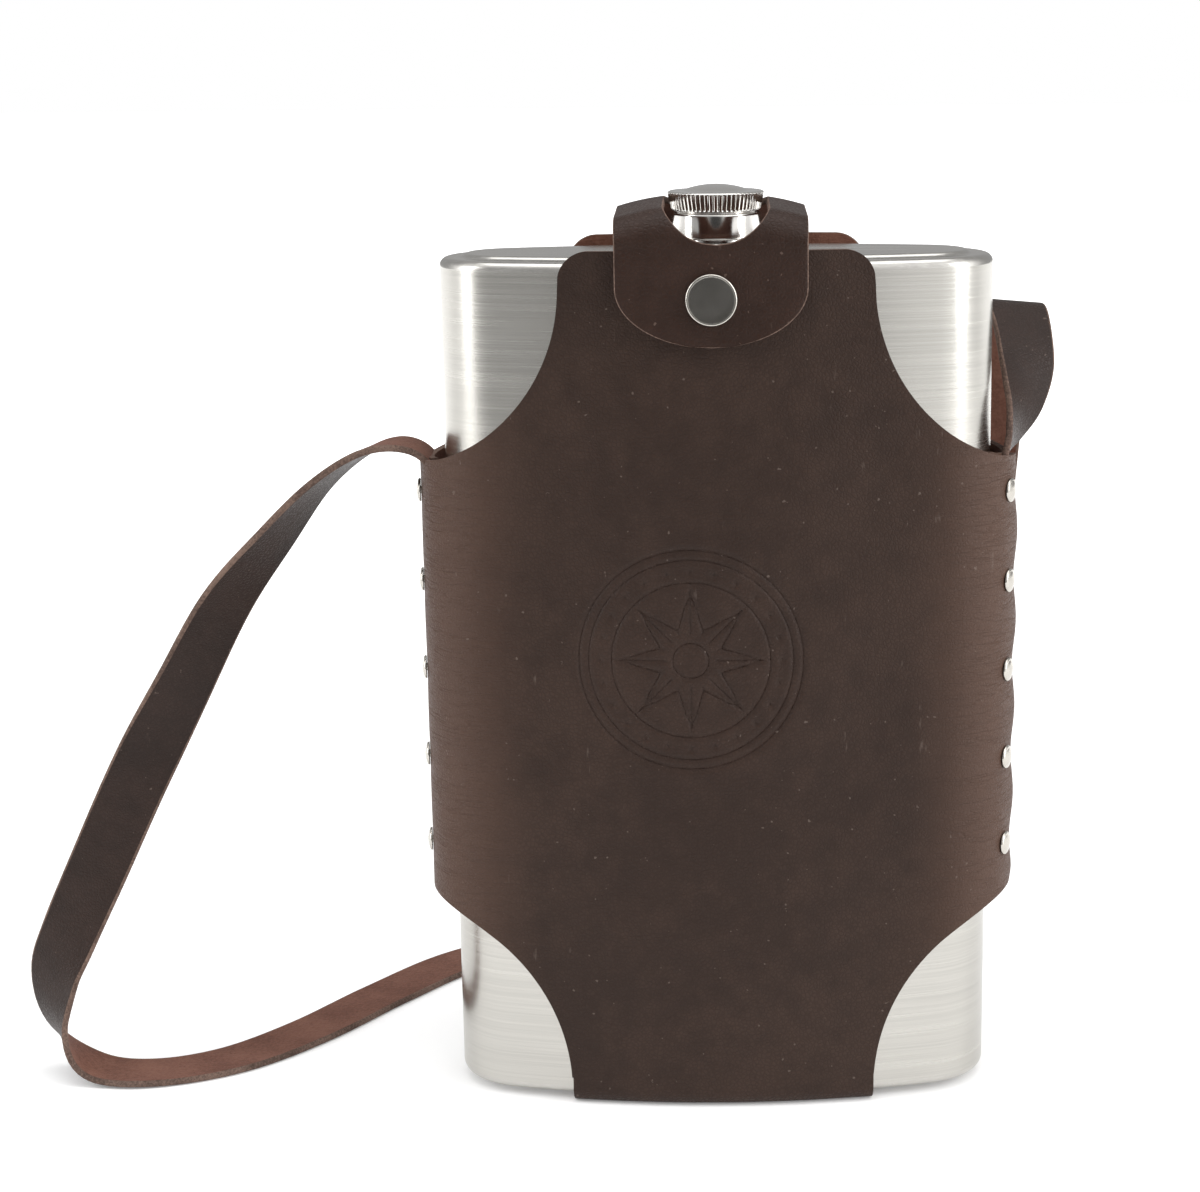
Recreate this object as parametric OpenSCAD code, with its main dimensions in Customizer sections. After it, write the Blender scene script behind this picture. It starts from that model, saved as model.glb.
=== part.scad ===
// Large steel hip flask in a riveted leather holster with a snap-closed flap and a shoulder strap.
// Millimetres. The origin is under the middle of the base, +Z is up and the front faces -Y.

/* [Flask] */
// Width of the flask from end to end
flask_w = 155; // [140:1:170]
// Depth of the flask from face to face at its middle
flask_d = 57; // [54:1:60]
// Height of the steel body from its base to its top rim
flask_h = 241; // [225:1:260]
// Radius of the bulged front and back faces, seen from above
face_r = 242; // [220:1:260]
// Thickness of the steel sheet
sheet = 0.8; // [0.6:0.1:1.0]
// Rounding of the steel body's top and bottom edges
edge_r = 2.5; // [2:0.5:3]
// Height of the raised panel on the top plate
panel_rise = 1; // [0.8:0.1:1.5]

/* [Neck and cap] */
// Radius of the spout's bore
bore_r = 8.5; // [8:0.1:8.6]
// Height of the spout above the raised panel
spout_h = 14; // [13.5:0.5:14]
// Largest radius of the knurled head
head_r = 13.5; // [13.2:0.1:13.6]
// Radius of the cap's plain skirt
skirt_r = 12.5; // [12:0.1:12.5]
// Distance that the cap rises in one turn of its thread
thread_lead = 3; // [2.5:0.5:3]
// Number of grooves round the knurled head
knurl_n = 60; // [40:1:72]

/* [Leather] */
// Thickness of the holster's leather
leather = 2; // [1.8:0.1:2.2]
// Room at each end between the flask and the back wing, where the strap's ends are held
end_room = 3; // [2.8:0.1:3.5]
// Height of the holster's top edge
holster_top = 246.4; // [244:0.1:246.6]
// Half width of the tab that runs down under the base
tab_half = 43.5; // [40:0.5:46]
// Overlap of each wing past its rivets, in degrees round the flask's end
seam_lap = 20; // [16:1:24]
// Angle of the right seam's rivets, forward of straight sideways
seam_right = 26; // [20:1:30]
// Angle of the left seam's rivets, forward of straight sideways
seam_left = 5; // [0:1:12]

/* [Rivets and snap] */
// Number of rivets in each seam
rivet_n = 5; // [4:1:5]
// Height of the lowest rivet
rivet_z = 73; // [70:1:76]
// Distance from one rivet to the next
rivet_pitch = 26; // [24:1:26]
// Radius of a rivet's outer cap
rivet_r = 3.4; // [3:0.1:4]
// Radius of the snap's outer cap
snap_r = 7; // [6:0.5:7.5]
// Height of the snap above the ground
snap_z = 234; // [232:1:235]

/* [Flap] */
// Width of the closing flap
flap_w = 52; // [48:1:56]
// Distance of the flap's middle from the flask's middle, to the left
flap_shift = 1.4; // [0:0.1:2]
// Half width of the neck hole in the flap
hole_r = 14.2; // [14.1:0.1:15]
// Height of the flap's lowest point above the ground
flap_end_z = 221; // [218:1:224]

/* [Shoulder strap] */
// Width of the strap
strap_w = 18; // [16:1:20]
// Thickness of the strap
strap_t = 2; // [1.6:0.1:2.2]

/* [Hidden] */
$fn = 96;
play = 0.1;
clear = 0.3;

// Plan of the flask: two face arcs and two end arcs that meet smoothly.
face_y = face_r - flask_d / 2;
flask_base_z = leather;
rim_z = flask_base_z + flask_h;
panel_z = rim_z + panel_rise;

// Centre of an end arc that ends at half length h and is tangent to both face arcs.
function end_centre(h) = (pow(face_y, 2) - pow(face_r - h, 2)) / (2 * (face_r - h));
end_x = end_centre(flask_w / 2);
end_r = flask_w / 2 - end_x;
wing_h = flask_w / 2 + end_room;
wing_x = end_centre(wing_h);
back_wing_r = wing_h - wing_x;
front_wing_r = back_wing_r + leather + play;

// Top plate and base: a flat core fills the middle of the swept ring.
ring_in = 16;
core_outline = [
    [-64, -4], [-56, -9], [0, -16.5], [56, -9], [64, -4],
    [64, 4], [56, 9], [0, 16.5], [-56, 9], [-64, 4]
];
panel_edge = 6.5;

// Neck and cap heights, from the raised panel up.
spout_r = 9.4;
spout_root = 8;
crest_r = 10.2;
spout_top = panel_z + spout_h;
collar_h = 3;
skirt_z = panel_z + collar_h + 0.6;
groove_z = panel_z + 10.6;
head_z = panel_z + 11.6;
knurl_top_z = head_z + 4;
cap_top_z = knurl_top_z + 1.1;
dome_r = 9.5;
dome_h = 1.7;
dome_ball = (pow(dome_r, 2) + pow(dome_h, 2)) / (2 * dome_h);
cap_bore_r = 11.35;
cap_ceiling = spout_top + 1.2;

// Holster outline: large arcs cut in at the shoulders and at the lower corners.
top_half = 43;
top_corner = 8.5;
shoulder_r = 52;
shoulder_z = 237;
lower_r = 57;
lower_z = 5;
fold_z = 6;
outside = 110;

// Snap, all on one line across the flap.
snap_x = -flap_shift;
panel_y = -flask_d / 2 - play;
post_r = 1.6;

// Flap: the middle line of the leather, seen from the side, with a bend at each inner vertex.
hinge_y = flask_d / 2 + play + leather + play;
hinge_z = holster_top + 0.75;
root_y = flask_d / 2 + play + leather / 2;
front_y = -flask_d / 2 - 7;
flap_line = [
    [root_y, holster_top + 0.9], [root_y, holster_top + 3.2], [4, 259],
    [front_y, 257.5], [front_y, flap_end_z]
];
flap_bend = [0, 3, 25, 8, 0];
hole_low_z = 248.5;
hole_rise = 9;
hole_back_y = 15.6;
flap_round = 16;

// Strap route from the right seam to the left one: a point, then the way that its width lies.
strap_route = [
    [79.3, -3, 152,   0, 1, 0],
    [79.4, -3, 172,   0, 1, 0],
    [81, -2.5, 184,   0.1, 1, 0],
    [84, -1, 192,     0.35, 0.94, 0],
    [87, 3, 201,      0.65, 0.76, 0],
    [88.5, 9, 211,    0.87, 0.5, 0],
    [88, 17, 220,     0.95, 0.3, -0.1],
    [87, 28, 225,     1, 0, -0.1],
    [86, 40, 221,     1, 0, 0],
    [85, 50, 207,     1, -0.1, 0],
    [84, 60, 180,     0.95, -0.3, 0],
    [82, 68, 140,     0.85, -0.5, 0],
    [80, 76, 95,      0.6, -0.8, 0],
    [77, 84, 50,      0.3, -0.95, 0],
    [70, 92, 18,      0, -1, 0],
    [52, 102, 3.4,    -0.3, -0.95, 0],
    [25, 110, 1.3,    -0.2, -1, 0],
    [-15, 114, 1.1,   0, -1, 0],
    [-55, 107, 1.1,   0.3, -0.95, 0],
    [-86, 87, 1.1,    0.7, -0.7, 0],
    [-108, 58, 1.1,   0.8, -0.6, 0],
    [-128, 27, 1.1,   0.8, -0.6, 0],
    [-148, 5, 1.1,    0.6, -0.8, 0],
    [-170, -5, 1.4,   0.15, -1, 0],
    [-188, -4, 3.4,   0, -1, 0],
    [-198, -2, 15,    0.5, -0.85, 0],
    [-199, 0, 30,     0.85, -0.5, -0.1],
    [-194, 0, 43,     0.95, -0.3, -0.3],
    [-184, 0, 64,     0.9, -0.1, -0.4],
    [-170, 0, 93,     0.9, 0.1, -0.45],
    [-156, 0, 119,    0.76, 0.5, -0.42],
    [-142, -1, 144,   0.62, 0.68, -0.4],
    [-127, -1, 163,   0.4, 0.86, -0.32],
    [-114, -1, 178,   0.2, 0.96, -0.19],
    [-101, -1, 187.5, 0.08, 0.98, -0.1],
    [-90, -1, 190,    0, 1, 0],
    [-82, -1, 186,    0, 1, 0],
    [-79.5, -1, 176,  0, 1, 0],
    [-79.3, -1, 152,  0, 1, 0]
];
rings_per_span = 2;

// ---------- shared shapes ----------

// Points on an arc, from one angle to another.
function arc(centre, r, from, to, steps = 12) =
    [for (i = [0 : steps]) let (a = from + (to - from) * i / steps) centre + r * [cos(a), sin(a)]];

// Plan of the flask, seen from above, moved outwards by off: two end arcs and two face arcs.
function flask_plan(off) =
    let (lean = atan(end_x / face_y))
    concat(
        arc([end_x, 0], end_r + off, 90 - lean, lean - 90, 32),
        arc([0, face_y], face_r + off, lean - 90, -90 - lean, 24),
        arc([-end_x, 0], end_r + off, -90 - lean, lean - 270, 32),
        arc([0, -face_y], face_r + off, 90 + lean, 90 - lean, 24)
    );

// Carries a profile all the way round the flask. The profile's x is measured outwards from the wall.
module round_flask() {
    lean = atan(end_x / face_y);
    for (turn = [0, 180])
        rotate([0, 0, turn]) {
            translate([0, face_y, 0])
                rotate([0, 0, -90 - lean])
                    rotate_extrude(angle = 2 * lean) translate([face_r, 0]) children();
            translate([end_x, 0, 0])
                rotate([0, 0, lean - 90])
                    rotate_extrude(angle = 180 - 2 * lean) translate([end_r, 0]) children();
        }
}

// Plan of a panel's leather, seen from above, on one side of it: off is the distance from the wrapped
// shape. The end arcs have centre cx and radius r and run past straight sideways by the given angles.
// Where an end arc stands proud of the faces, a straight stretch joins the two.
function wrap_side(cx, r, right_edge, left_edge, off) =
    let (
        span = norm([cx, face_y]),
        lean = atan(cx / face_y) - acos(min(1, (face_r - r) / span))
    )
    concat(
        arc([cx, 0], r + off, right_edge, lean - 90, 16),
        arc([0, face_y], face_r + off, lean - 90, -90 - lean, 24),
        arc([-cx, 0], r + off, -90 - lean, -180 - left_edge, 16)
    );

// A panel's leather, wrapped round the front of the flask at its full height.
module wrapped_panel(cx, r, right_edge, left_edge) {
    inner = wrap_side(cx, r, right_edge, left_edge, play);
    translate([0, 0, fold_z])
        linear_extrude(holster_top - fold_z)
            polygon(concat(
                wrap_side(cx, r, right_edge, left_edge, play + leather),
                [for (i = [len(inner) - 1 : -1 : 0]) inner[i]]
            ));
}

// Stands a child on the flask's end, pointing outwards at an angle forward of straight sideways.
// side is 1 for the right seam and -1 for the left one.
module on_seam(side, forward, z) {
    translate([side * wing_x, 0, z])
        rotate([0, 0, side > 0 ? -forward : 180 + forward])
            rotate([0, 90, 0])
                children();
}

// Repeats a child at each rivet of one seam.
module each_rivet(side) {
    for (i = [0 : rivet_n - 1])
        on_seam(side, side > 0 ? seam_right : seam_left, rivet_z + i * rivet_pitch)
            children();
}

// Stands a child on the snap's line with +Z pointing out of the front, from height y.
module on_snap(y) {
    translate([snap_x, y, snap_z])
        rotate([90, 0, 0])
            children();
}

// ---------- steel flask ----------

// The drawn wall, between the rounded edges of the two plates.
module flask_wall() color([0.72, 0.70, 0.67])
    difference() {
        translate([0, 0, flask_base_z + edge_r])
            linear_extrude(flask_h - 2 * edge_r) polygon(flask_plan(0));
        linear_extrude(rim_z) polygon(flask_plan(-sheet));
    }

// The top plate: a rounded edge, a flat rim, a small step and the raised oval panel with the neck hole.
module flask_top() color([0.75, 0.73, 0.70])
    difference() {
        union() {
            round_flask()
                polygon(concat(
                    arc([-edge_r, rim_z - edge_r], edge_r, 0, 90, 4),
                    [
                        [-panel_edge, rim_z], [-panel_edge - 1, panel_z], [-ring_in, panel_z],
                        [-ring_in, panel_z - sheet], [-panel_edge - 1.2, panel_z - sheet],
                        [-panel_edge - 0.2, rim_z - sheet]
                    ],
                    arc([-edge_r, rim_z - edge_r], edge_r - sheet, 90, 0, 4)
                ));
            translate([0, 0, panel_z - sheet])
                linear_extrude(sheet) polygon(core_outline);
        }
        translate([0, 0, rim_z - 5])
            cylinder(r = spout_r + play, h = 10);
    }

// The flat base plate, with a rounded edge of its own.
module flask_base() color([0.70, 0.68, 0.65])
    union() {
        round_flask()
            polygon(concat(
                arc([-edge_r, flask_base_z + edge_r], edge_r, 270, 360, 4),
                arc([-edge_r, flask_base_z + edge_r], edge_r - sheet, 360, 270, 4),
                [[-ring_in, flask_base_z + sheet], [-ring_in, flask_base_z]]
            ));
        translate([0, 0, flask_base_z])
            linear_extrude(sheet) polygon(core_outline);
    }

// ---------- neck and cap ----------

// The spout, with three ridges that stand for its screw thread.
module neck_tube() color([0.80, 0.79, 0.77])
    rotate_extrude()
        union() {
            translate([bore_r, panel_z - spout_root]) square([spout_r - bore_r, spout_h + spout_root]);
            for (i = [0 : 2])
                translate([0, panel_z + 5 + i * thread_lead])
                    polygon([
                        [spout_r - 0.3, -0.2], [spout_r, 0], [crest_r, 0.5], [crest_r, 0.9],
                        [spout_r, 1.4], [spout_r - 0.3, 1.6]
                    ]);
        }

// The polished stepped ring round the foot of the spout.
module neck_collar() color([0.86, 0.85, 0.83])
    rotate_extrude()
        polygon([
            [spout_r + play, panel_z], [14, panel_z], [14, panel_z + 1], [13.2, panel_z + 1.5],
            [13.2, panel_z + 2.4], [12.4, panel_z + collar_h], [spout_r + play, panel_z + collar_h]
        ]);

// The cap: plain skirt, groove, knurled conical head and shallow dome.
module cap_shell() color([0.88, 0.87, 0.85]) {
    lean = atan((head_r - 11.9) / (knurl_top_z - head_z));
    difference() {
        union() {
            rotate_extrude()
                polygon([
                    [0, skirt_z], [skirt_r - 0.4, skirt_z], [skirt_r, skirt_z + 0.4], [skirt_r, groove_z],
                    [11.9, groove_z], [11.9, head_z], [head_r, knurl_top_z], [head_r - 0.8, knurl_top_z + 0.8],
                    [dome_r, cap_top_z], [0, cap_top_z]
                ]);
            intersection() {
                translate([0, 0, cap_top_z + dome_h - dome_ball]) sphere(dome_ball);
                translate([0, 0, cap_top_z - 0.2]) cylinder(r = dome_r, h = dome_h + 1);
            }
        }
        translate([0, 0, skirt_z - 1])
            cylinder(r = cap_bore_r, h = cap_ceiling - skirt_z + 1);
        for (i = [0 : knurl_n - 1])
            rotate([0, 0, i * 360 / knurl_n])
                translate([(head_r + 11.9) / 2, 0, (head_z + knurl_top_z) / 2])
                    rotate([0, lean, 0])
                        translate([0.12, 0, -3])
                            rotate([0, 0, 180]) cylinder(r = 0.5, h = 6, $fn = 3);
    }
}

// The threaded bush pressed into the cap.
module cap_insert() color([0.62, 0.61, 0.60])
    rotate_extrude()
        union() {
            translate([10.9, skirt_z + 0.4]) square([0.35, spout_top - skirt_z - 0.8]);
            for (i = [0 : 2])
                translate([0, panel_z + 4 + 1.9 + (i - 0.5) * thread_lead])
                    polygon([[11, 0.1], [11, 1.7], [crest_r + 0.12, 1], [crest_r + 0.12, 0.8]]);
        }

// The flat washer that the spout's lip presses on.
module cap_gasket() color([0.16, 0.16, 0.16])
    translate([0, 0, spout_top + 0.15])
        difference() {
            cylinder(r = 10.2, h = 0.85);
            translate([0, 0, -1]) cylinder(r = bore_r - 0.6, h = 3);
        }

// ---------- holster ----------

// What is cut from a wrapped panel on its right side, seen from the front: the shoulder and its rounded
// top corner, then the lower corner.
module side_cuts() {
    polygon(concat(
        arc([top_half + shoulder_r, shoulder_z], shoulder_r, 270, 180),
        arc([top_half - top_corner, holster_top - top_corner], top_corner, 0, 90, 6),
        [[top_half - top_corner, holster_top + 10], [outside, holster_top + 10], [outside, shoulder_z - shoulder_r]]
    ));
    polygon(concat(
        [[outside, lower_z + lower_r], [tab_half + lower_r, lower_z + lower_r]],
        arc([tab_half + lower_r, lower_z], lower_r, 90, 180),
        [[tab_half, -5], [outside, -5]]
    ));
}

// Cuts both sides of a wrapped panel to the holster's outline.
module holster_shape() {
    difference() {
        children();
        for (flip = [0, 1])
            mirror([flip, 0, 0])
                translate([0, 60, 0]) rotate([90, 0, 0]) linear_extrude(120) side_cuts();
    }
}

// Holes for the rivets' posts through both wings.
module rivet_holes() {
    for (side = [-1, 1])
        each_rivet(side)
            cylinder(r = post_r + 0.05, h = 40);
}

// The front panel, whose wings lie over the back wings at both seams.
module front_panel() color([0.26, 0.17, 0.15])
    difference() {
        holster_shape()
            wrapped_panel(wing_x, front_wing_r, seam_lap - seam_right, seam_lap - seam_left);
        rivet_holes();
        on_snap(panel_y + 1) {
            cylinder(r = post_r + 0.05, h = 6);
            cylinder(r = 4.6, h = 1.6);
        }
    }

// The back panel, whose wings come forward under the front ones.
module back_panel() color([0.24, 0.16, 0.14])
    difference() {
        holster_shape()
            rotate([0, 0, 180])
                wrapped_panel(wing_x, back_wing_r, seam_lap + seam_left, seam_lap + seam_right);
        rivet_holes();
    }

// The strip that joins the two panels under the base, with a round fold at each face.
module base_strip() color([0.23, 0.15, 0.13]) {
    middle = [play - edge_r, leather + edge_r];
    difference() {
        union() {
            round_flask()
                polygon(concat(
                    [[-ring_in, 0]],
                    arc(middle, leather + edge_r, 270, 360, 6),
                    [[play + leather, fold_z], [play, fold_z]],
                    arc(middle, edge_r, 360, 270, 6),
                    [[-ring_in, leather]]
                ));
            linear_extrude(leather) polygon(core_outline);
        }
        for (side = [-1, 1])
            translate([side * (tab_half + 50), 0, 0]) cube(100, center = true);
    }
}

// ---------- flap ----------

// Points round one bend of the flap's middle line, on the side that lies off from it.
function bend(before, at, after, r, off) =
    let (
        u = (before - at) / norm(before - at),
        v = (after - at) / norm(after - at),
        half = acos(u * v) / 2,
        centre = at + (u + v) / norm(u + v) * r / sin(half),
        first = at + u * r / tan(half) - centre,
        last = at + v * r / tan(half) - centre,
        from = atan2(first[1], first[0]),
        sweep = 180 - 2 * half,
        steps = 8
    )
    [for (i = [0 : steps])
        let (a = from + sweep * i / steps)
        centre + (r + off) * [cos(a), sin(a)]];

// One side of the flap's leather, from its root at the back to its free end at the front.
function flap_side(off) = concat(
    [flap_line[0] + [off, 0]],
    [for (i = [1 : len(flap_line) - 2])
        each bend(flap_line[i - 1], flap_line[i], flap_line[i + 1], flap_bend[i], off)],
    [flap_line[len(flap_line) - 1] - [off, 0]]
);

// Front view of the flap. Its free end is half an ellipse.
module flap_outline() {
    half = flap_w / 2;
    polygon(concat(
        [for (i = [0 : 32]) let (a = 180 + i * 180 / 32)
            [half * cos(a), flap_end_z + flap_round + flap_round * sin(a)]],
        [[half, flap_end_z + 80], [-half, flap_end_z + 80]]
    ));
}

// Plan of the neck hole: a slot with a round back end.
module neck_hole() {
    last = hole_back_y - hole_r;
    translate([-hole_r, -24]) square([2 * hole_r, last + 24]);
    translate([0, last]) circle(hole_r);
}

// Front view of the neck hole where it comes down into the hanging part: a U, half an ellipse below.
module neck_notch() {
    polygon(concat(
        [for (i = [0 : 24]) let (a = 180 + i * 180 / 24)
            [hole_r * cos(a), hole_low_z + hole_rise + hole_rise * sin(a)]],
        [[hole_r, hole_low_z + 40], [-hole_r, hole_low_z + 40]]
    ));
}

// The flap, which rises from the back panel, passes over the neck and hangs down the front.
module closure_flap() color([0.28, 0.18, 0.15])
    difference() {
        intersection() {
            translate([-flap_w / 2 - flap_shift, 0, 0])
                rotate([90, 0, 90])
                    linear_extrude(flap_w)
                        polygon(concat(
                            flap_side(leather / 2),
                            [for (i = [len(flap_side(0)) - 1 : -1 : 0]) flap_side(-leather / 2)[i]]
                        ));
            translate([-flap_shift, 60, 0]) rotate([90, 0, 0]) linear_extrude(120) flap_outline();
        }
        translate([0, 0, 240]) linear_extrude(40) neck_hole();
        translate([0, -23, 0]) rotate([90, 0, 0]) linear_extrude(30) neck_notch();
        on_snap(front_y + 5) cylinder(r = post_r + 0.05, h = 10);
    }

// ---------- snap ----------

// The snap's outer cap and the post that rivets it through the flap.
module snap_cap() color([0.66, 0.65, 0.64])
    on_snap(front_y - leather / 2) {
        rotate_extrude()
            polygon([
                [0, 0], [snap_r, 0], [snap_r, 0.5], [snap_r - 0.5, 1], [snap_r - 2, 1.3], [0, 1.5]
            ]);
        translate([0, 0, -leather - 0.5]) cylinder(r = post_r, h = leather + 0.6);
    }

// The spring socket on the flap's inner side.
module snap_socket() color([0.60, 0.59, 0.58])
    on_snap(front_y + leather / 2)
        difference() {
            translate([0, 0, -1.9]) cylinder(r = 5.5, h = 1.9);
            translate([0, 0, -2.9]) cylinder(r = 2.4, h = 2.1);
            translate([0, 0, -1.9]) cylinder(r = post_r + 0.05, h = 3);
        }

// The stud that stands out of the front panel.
module snap_stud() color([0.62, 0.61, 0.60])
    on_snap(panel_y - leather)
        difference() {
            union() {
                cylinder(r = 4.5, h = 0.5);
                cylinder(r = 2.1, h = 1.7);
            }
            translate([0, 0, -1]) cylinder(r = post_r - 0.55, h = 2.2);
        }

// The eyelet that holds the stud from the inside of the front panel.
module snap_post() color([0.55, 0.54, 0.52])
    on_snap(panel_y) {
        translate([0, 0, 0.05]) cylinder(r = 4.5, h = 0.5);
        translate([0, 0, 0.05]) cylinder(r = post_r, h = leather - 0.1);
        cylinder(r = post_r - 0.6, h = leather + 1);
    }

// ---------- rivets ----------

// The outer caps and posts of one seam's rivets.
module rivet_caps(side) {
    surface_r = front_wing_r + play + leather;
    each_rivet(side) {
        translate([0, 0, surface_r + 0.05])
            rotate_extrude()
                polygon([
                    [0, 0], [rivet_r, 0], [rivet_r, 0.4], [rivet_r - 0.7, 1], [rivet_r - 2, 1.3], [0, 1.4]
                ]);
        translate([0, 0, back_wing_r]) cylinder(r = post_r - 0.5, h = surface_r - back_wing_r + 0.1);
    }
}

// The inner caps of one seam's rivets, each with the tube that takes the post.
module rivet_backs(side) {
    each_rivet(side)
        difference() {
            union() {
                translate([0, 0, back_wing_r - 0.9]) cylinder(r = rivet_r, h = 0.9);
                translate([0, 0, back_wing_r - 0.9]) cylinder(r = post_r, h = 4);
            }
            translate([0, 0, back_wing_r - 0.05]) cylinder(r = post_r - 0.45, h = 10);
        }
}

module right_rivet_caps() color([0.78, 0.77, 0.76]) rivet_caps(1);
module right_rivet_backs() color([0.70, 0.69, 0.68]) rivet_backs(1);
module left_rivet_caps() color([0.78, 0.77, 0.76]) rivet_caps(-1);
module left_rivet_backs() color([0.70, 0.69, 0.68]) rivet_backs(-1);

// ---------- shoulder strap ----------

// A smooth curve through the route's rows, at a fraction t from row i to the next.
function row(i) = strap_route[max(0, min(len(strap_route) - 1, i))];
function smooth(i, t) = 0.5 * (
    2 * row(i) + (row(i + 1) - row(i - 1)) * t
    + (2 * row(i - 1) - 5 * row(i) + 4 * row(i + 1) - row(i + 2)) * t * t
    + (3 * row(i) - row(i - 1) - 3 * row(i + 1) + row(i + 2)) * t * t * t
);
strap_path = concat(
    [for (i = [0 : len(strap_route) - 2], k = [0 : rings_per_span - 1]) smooth(i, k / rings_per_span)],
    [row(len(strap_route) - 1)]
);
function place(r) = [r[0], r[1], r[2]];
function unit(v) = v / norm(v);
function heading(i) = unit(
    place(strap_path[min(i + 1, len(strap_path) - 1)]) - place(strap_path[max(i - 1, 0)])
);

// The strap's section: a flat bar with its long corners taken off.
strap_section = [
    [-0.5, -0.2], [-0.46, -0.5], [0.46, -0.5], [0.5, -0.2],
    [0.5, 0.2], [0.46, 0.5], [-0.46, 0.5], [-0.5, 0.2]
];
function strap_ring(i) =
    let (
        t = heading(i),
        lay = [strap_path[i][3], strap_path[i][4], strap_path[i][5]],
        w = unit(lay - (lay * t) * t),
        n = cross(w, t)
    )
    [for (p = strap_section) place(strap_path[i]) + p[0] * strap_w * w + p[1] * strap_t * n];

// The shoulder strap, one flat band from seam to seam.
module shoulder_strap() color([0.24, 0.15, 0.13]) {
    sides = len(strap_section);
    last = len(strap_path) - 1;
    polyhedron(
        points = [for (i = [0 : last]) each strap_ring(i)],
        faces = concat(
            [[for (k = [sides - 1 : -1 : 0]) k]],
            [for (i = [0 : last - 1], k = [0 : sides - 1])
                each [
                    [i * sides + k, i * sides + (k + 1) % sides, (i + 1) * sides + (k + 1) % sides],
                    [i * sides + k, (i + 1) * sides + (k + 1) % sides, (i + 1) * sides + k]
                ]],
            [[for (k = [0 : sides - 1]) last * sides + k]]
        )
    );
}

flask_wall();
flask_top();
flask_base();
neck_tube();
neck_collar();
cap_shell();
cap_insert();
cap_gasket();
front_panel();
back_panel();
base_strip();
closure_flap();
snap_cap();
snap_socket();
snap_stud();
snap_post();
right_rivet_caps();
right_rivet_backs();
left_rivet_caps();
left_rivet_backs();
shoulder_strap();
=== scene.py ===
import bpy
import bmesh
import numpy as np
from mathutils import Matrix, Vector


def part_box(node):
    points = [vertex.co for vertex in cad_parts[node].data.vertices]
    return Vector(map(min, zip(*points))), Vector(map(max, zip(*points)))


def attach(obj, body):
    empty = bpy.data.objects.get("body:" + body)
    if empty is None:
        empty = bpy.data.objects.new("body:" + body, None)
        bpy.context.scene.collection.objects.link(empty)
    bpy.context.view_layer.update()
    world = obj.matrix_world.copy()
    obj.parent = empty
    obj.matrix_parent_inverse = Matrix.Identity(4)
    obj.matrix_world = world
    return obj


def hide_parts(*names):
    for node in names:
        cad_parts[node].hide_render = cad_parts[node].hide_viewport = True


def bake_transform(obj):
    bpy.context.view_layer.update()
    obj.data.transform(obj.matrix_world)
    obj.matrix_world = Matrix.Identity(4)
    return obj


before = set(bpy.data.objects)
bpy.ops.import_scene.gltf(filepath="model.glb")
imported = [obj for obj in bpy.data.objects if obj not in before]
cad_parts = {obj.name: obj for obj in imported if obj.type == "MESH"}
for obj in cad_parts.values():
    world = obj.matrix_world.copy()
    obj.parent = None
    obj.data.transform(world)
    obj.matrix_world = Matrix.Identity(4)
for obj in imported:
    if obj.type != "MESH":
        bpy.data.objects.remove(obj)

MM = 0.001
ROOT, FLAP, CAP = "holster_and_flask", "flap", "cap"
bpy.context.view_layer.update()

# ---------- camera ----------

CAMERA_AT = (0.0, -0.729, 0.309)
CAMERA_DOWN = np.radians(12.7)
CAMERA_ROLL = np.radians(0.48)


def add_camera():
    """Places the camera by its right, up and back directions."""
    ahead = np.array([0, np.cos(CAMERA_DOWN), -np.sin(CAMERA_DOWN)])
    up = np.array([0, np.sin(CAMERA_DOWN), np.cos(CAMERA_DOWN)])
    right = np.array([1.0, 0, 0])
    c, s = np.cos(CAMERA_ROLL), np.sin(CAMERA_ROLL)
    turned = np.eye(4)
    turned[:3, 0], turned[:3, 1], turned[:3, 2] = right * c - up * s, up * c + right * s, -ahead
    turned[:3, 3] = CAMERA_AT
    lens = bpy.data.cameras.new("camera")
    lens.sensor_width = 36
    lens.lens = 77.73
    lens.shift_x = -0.0992
    camera = bpy.data.objects.new("camera", lens)
    camera.matrix_world = Matrix(turned.tolist())
    bpy.context.scene.collection.objects.link(camera)
    bpy.context.scene.camera = camera


add_camera()

# ---------- finishes ----------


class Wire:
    """A value that runs through a material. Arithmetic on it adds Math nodes."""

    def __init__(self, finish, socket):
        self.finish, self.socket = finish, socket

    def sums(self, operation, *terms):
        return self.finish.node("ShaderNodeMath", {"operation": operation}, dict(enumerate(terms)))

    def __add__(self, other):
        return self.sums("ADD", self, other)

    def __sub__(self, other):
        return self.sums("SUBTRACT", self, other)

    def __rsub__(self, other):
        return self.sums("SUBTRACT", other, self)

    def __mul__(self, other):
        return self.sums("MULTIPLY", self, other)

    def __abs__(self):
        return self.sums("ABSOLUTE", self)

    __radd__, __rmul__ = __add__, __mul__

    def between(self, low, high, start=0.0, end=1.0):
        """start below low, end above high, and a smooth step between them."""
        return self.finish.node(
            "ShaderNodeMapRange", {"interpolation_type": "SMOOTHSTEP"},
            {"Value": self, "From Min": low, "From Max": high, "To Min": start, "To Max": end},
        )


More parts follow.
